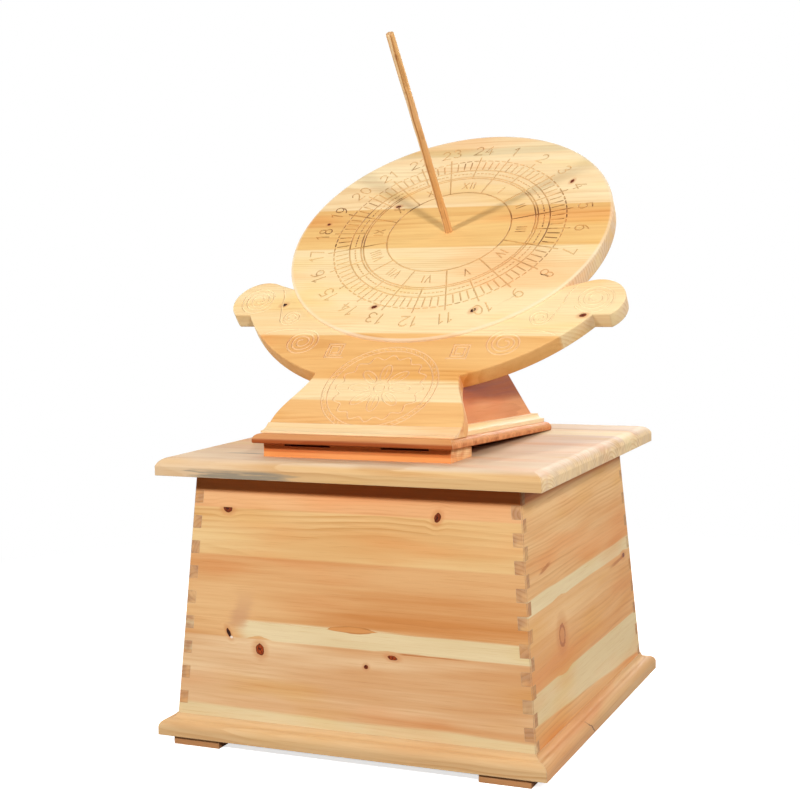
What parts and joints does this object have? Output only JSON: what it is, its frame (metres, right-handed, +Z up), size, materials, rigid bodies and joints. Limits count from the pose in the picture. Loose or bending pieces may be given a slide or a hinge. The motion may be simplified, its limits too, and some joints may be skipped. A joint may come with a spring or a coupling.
{
  "type": "equatorial sundial on a plinth",
  "caption": "Wooden equatorial sundial: a round dial in a cloud-shaped cradle on a sloping stand, with a rod gnomon, resting on a tapered finger-jointed box plinth.",
  "frame": {"origin": "on the floor, under the centre of the square plinth", "axes": "+Z up; the dial's face looks towards -Y and up, so -Y is the front; +X to the right when seen from the front"},
  "size_m": [0.61, 0.6245, 0.9699],
  "materials": {
    "dark_wood": "satin oil",
    "honey_wood": "satin varnish",
    "orange_wood": "satin varnish",
    "bare_wood": "unfinished",
    "pale_wood": "satin varnish",
    "cream_wood": "satin varnish",
    "steel": "zinc plated"
  },
  "bodies": {
    "plinth": {"foot_front_left": "dark_wood", "foot_front_right": "dark_wood", "foot_back_left": "dark_wood", "foot_back_right": "dark_wood", "base_moulding_front": "honey_wood", "base_moulding_back": "honey_wood", "base_moulding_left": "honey_wood", "base_moulding_right": "honey_wood", "box_front": "honey_wood", "box_back": "honey_wood", "box_left": "orange_wood", "box_right": "orange_wood", "floor_board": "bare_wood", "corner_block_front_left": "bare_wood", "corner_block_front_right": "bare_wood", "corner_block_back_left": "bare_wood", "corner_block_back_right": "bare_wood", "top_cleat_left": "bare_wood", "top_cleat_right": "bare_wood", "top_board": "pale_wood", "foot_screws": "steel", "top_screws": "steel"},
    "dial_stand": {"riser_batten": "orange_wood", "base_plate": "orange_wood", "side_panel_left": "orange_wood", "side_panel_right": "orange_wood", "back_panel": "orange_wood", "cove_strip_front": "cream_wood", "cove_strip_back": "cream_wood", "cove_strip_left": "cream_wood", "cove_strip_right": "cream_wood", "toe_block": "bare_wood", "rear_block": "bare_wood", "side_block_left": "bare_wood", "side_block_right": "bare_wood", "dial_board": "cream_wood", "dial_dowels": "bare_wood", "plate_screws": "steel", "riser_screws": "steel"},
    "gnomon": {"gnomon": "honey_wood"}
  },
  "joints": [
    {"name": "stand_lift", "type": "slide", "parent": "plinth", "child": "dial_stand", "axis": [0, 0, 1], "range_m": [0, 0.15]},
    {"name": "gnomon_slide", "type": "slide", "parent": "dial_stand", "child": "gnomon", "axis": [0, -0.6191, 0.7853], "range_m": [-0.12, 0.03]}
  ]
}
